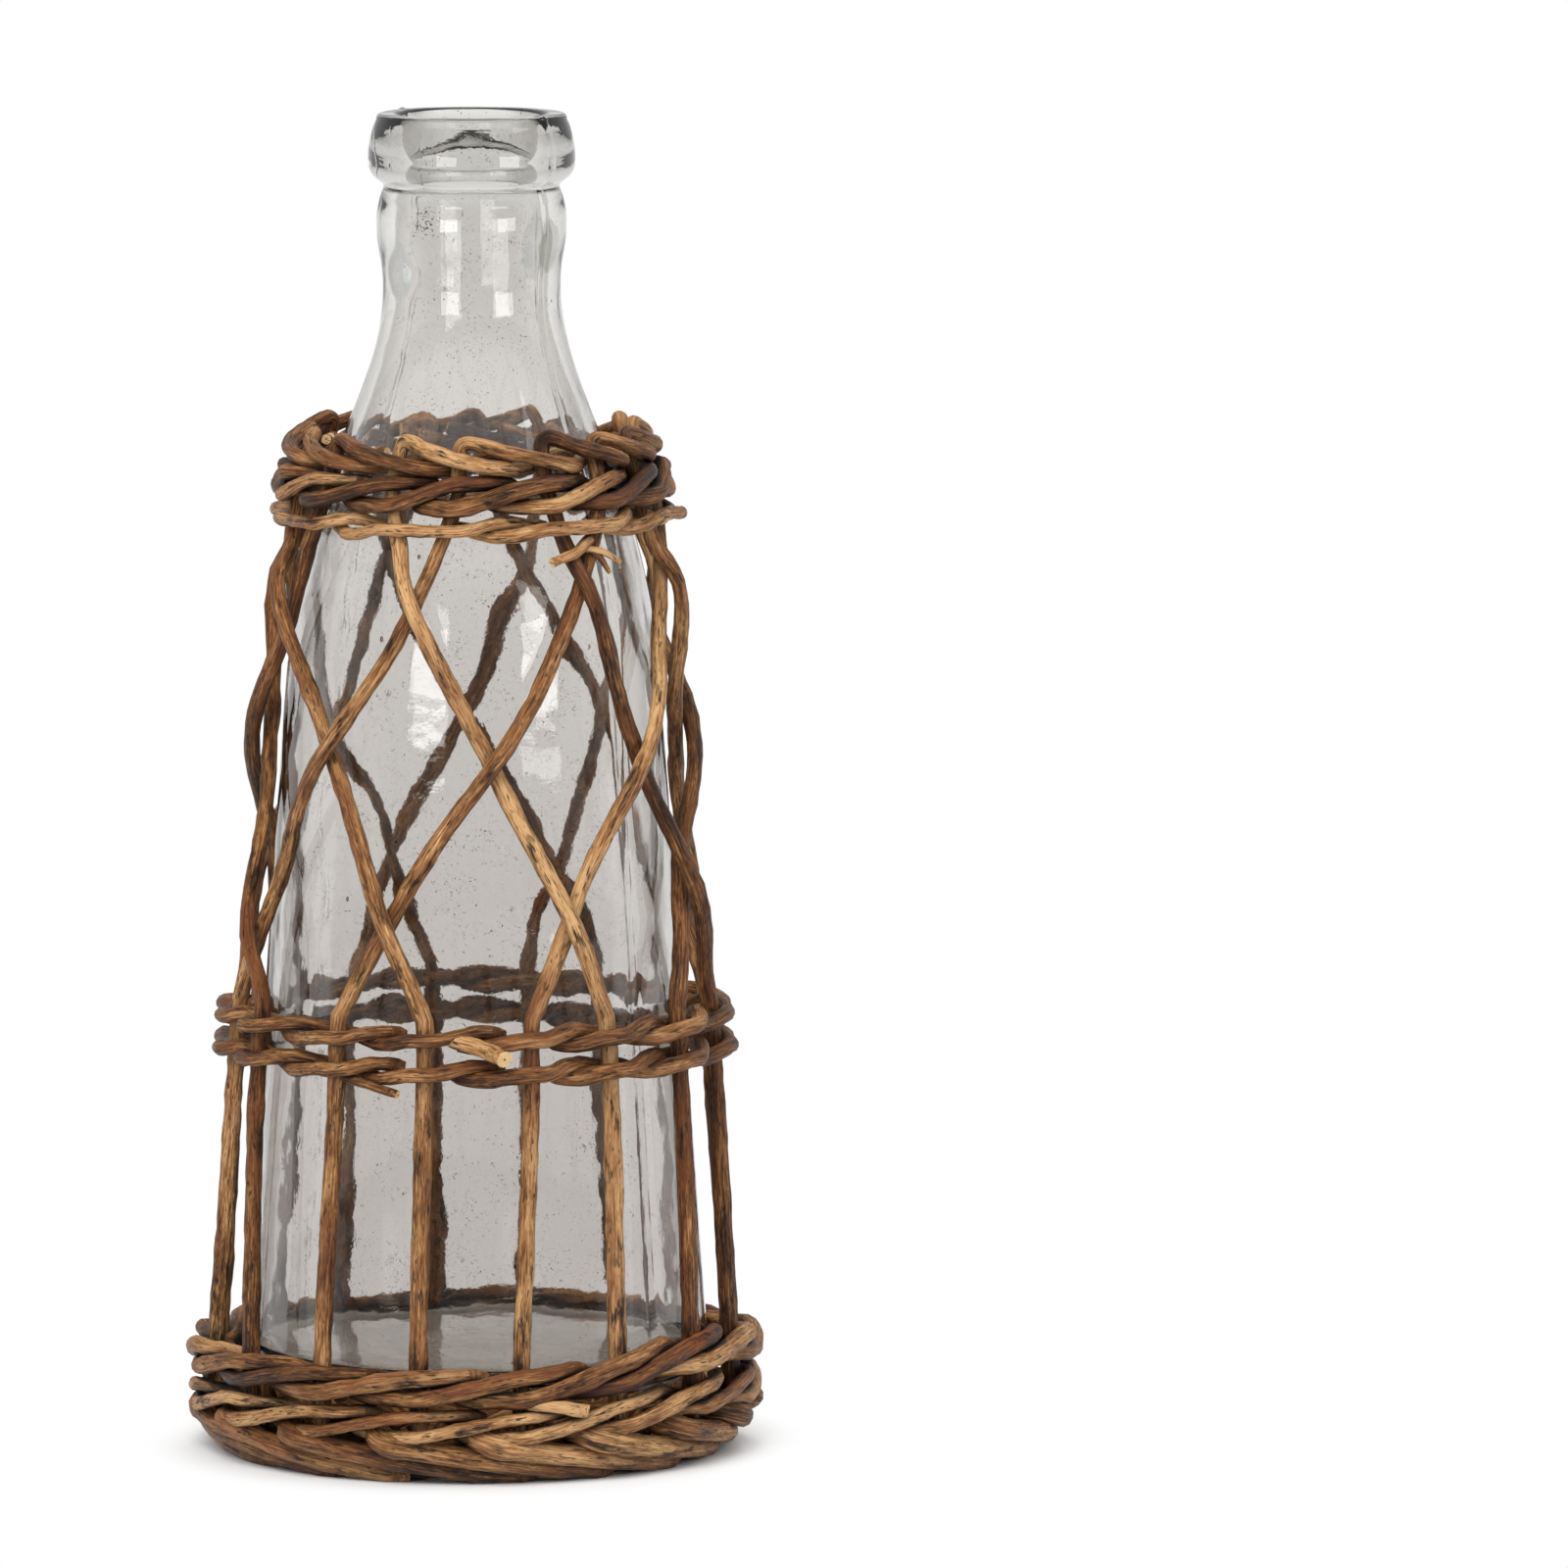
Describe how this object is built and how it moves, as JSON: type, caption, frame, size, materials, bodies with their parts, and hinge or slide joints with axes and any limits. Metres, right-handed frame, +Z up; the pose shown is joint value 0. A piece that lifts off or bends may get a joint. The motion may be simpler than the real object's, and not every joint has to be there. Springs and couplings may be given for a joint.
{
  "type": "wicker-covered carafe",
  "caption": "Tapering glass carafe with an open mouth, standing captive in a loose cage of woven willow rods on a woven foot.",
  "frame": {"origin": "on the ground under the bottle's axis", "axes": "+Z up along the bottle's axis, -Y towards the front in the picture"},
  "size_m": [0.155, 0.1546, 0.36],
  "materials": {
    "bottle_glass": "clear blown glass with a faint grey tint and a fire-polished rim",
    "willow_stakes": "unpeeled willow rod, stained brown",
    "willow_weavers": "unpeeled willow rod, stained brown",
    "willow_foot": "thick unpeeled willow rod, dark brown",
    "willow_base": "woven willow floor, brown"
  },
  "bodies": {
    "wicker_cage": {"base_mat": "willow_base", "base_stick_1": "willow_base", "base_stick_2": "willow_base", "base_stick_3": "willow_base", "base_stick_4": "willow_base", "base_stick_5": "willow_base", "base_stick_6": "willow_base", "base_stick_7": "willow_base", "base_stick_8": "willow_base", "foot_rod_1": "willow_foot", "foot_rod_2": "willow_foot", "foot_rod_3": "willow_foot", "foot_rod_4": "willow_foot", "foot_rod_5": "willow_foot", "foot_rod_6": "willow_foot", "foot_rod_7": "willow_foot", "foot_rod_8": "willow_foot", "foot_rod_9": "willow_foot", "foot_rod_10": "willow_foot", "foot_rod_11": "willow_foot", "foot_rod_12": "willow_foot", "foot_rod_13": "willow_foot", "foot_rod_14": "willow_foot", "foot_rod_15": "willow_foot", "foot_rod_16": "willow_foot", "foot_wale_1_rod_1": "willow_weavers", "foot_wale_1_rod_2": "willow_weavers", "foot_wale_1_rod_3": "willow_weavers", "foot_wale_2_rod_1": "willow_weavers", "foot_wale_2_rod_2": "willow_weavers", "foot_wale_2_rod_3": "willow_weavers", "mid_band_lower_rod_1": "willow_weavers", "mid_band_lower_rod_2": "willow_weavers", "mid_band_upper_rod_1": "willow_weavers", "mid_band_upper_rod_2": "willow_weavers", "stake_1": "willow_stakes", "stake_2": "willow_stakes", "stake_3": "willow_stakes", "stake_4": "willow_stakes", "stake_5": "willow_stakes", "stake_6": "willow_stakes", "stake_7": "willow_stakes", "stake_8": "willow_stakes", "stake_9": "willow_stakes", "stake_10": "willow_stakes", "stake_11": "willow_stakes", "stake_12": "willow_stakes", "stake_13": "willow_stakes", "stake_14": "willow_stakes", "stake_15": "willow_stakes", "stake_16": "willow_stakes", "top_fitch_rod_1": "willow_weavers", "top_fitch_rod_2": "willow_weavers", "top_wale_rod_1": "willow_weavers", "top_wale_rod_2": "willow_weavers", "top_wale_rod_3": "willow_weavers"},
    "bottle": {"glass_bottle": "bottle_glass"}
  },
  "joints": [
    {"name": "bottle_turn", "type": "hinge", "parent": "wicker_cage", "child": "bottle", "pos_m": [0, 0, 0.0194], "axis": [0, 0, 1], "continuous": true}
  ]
}
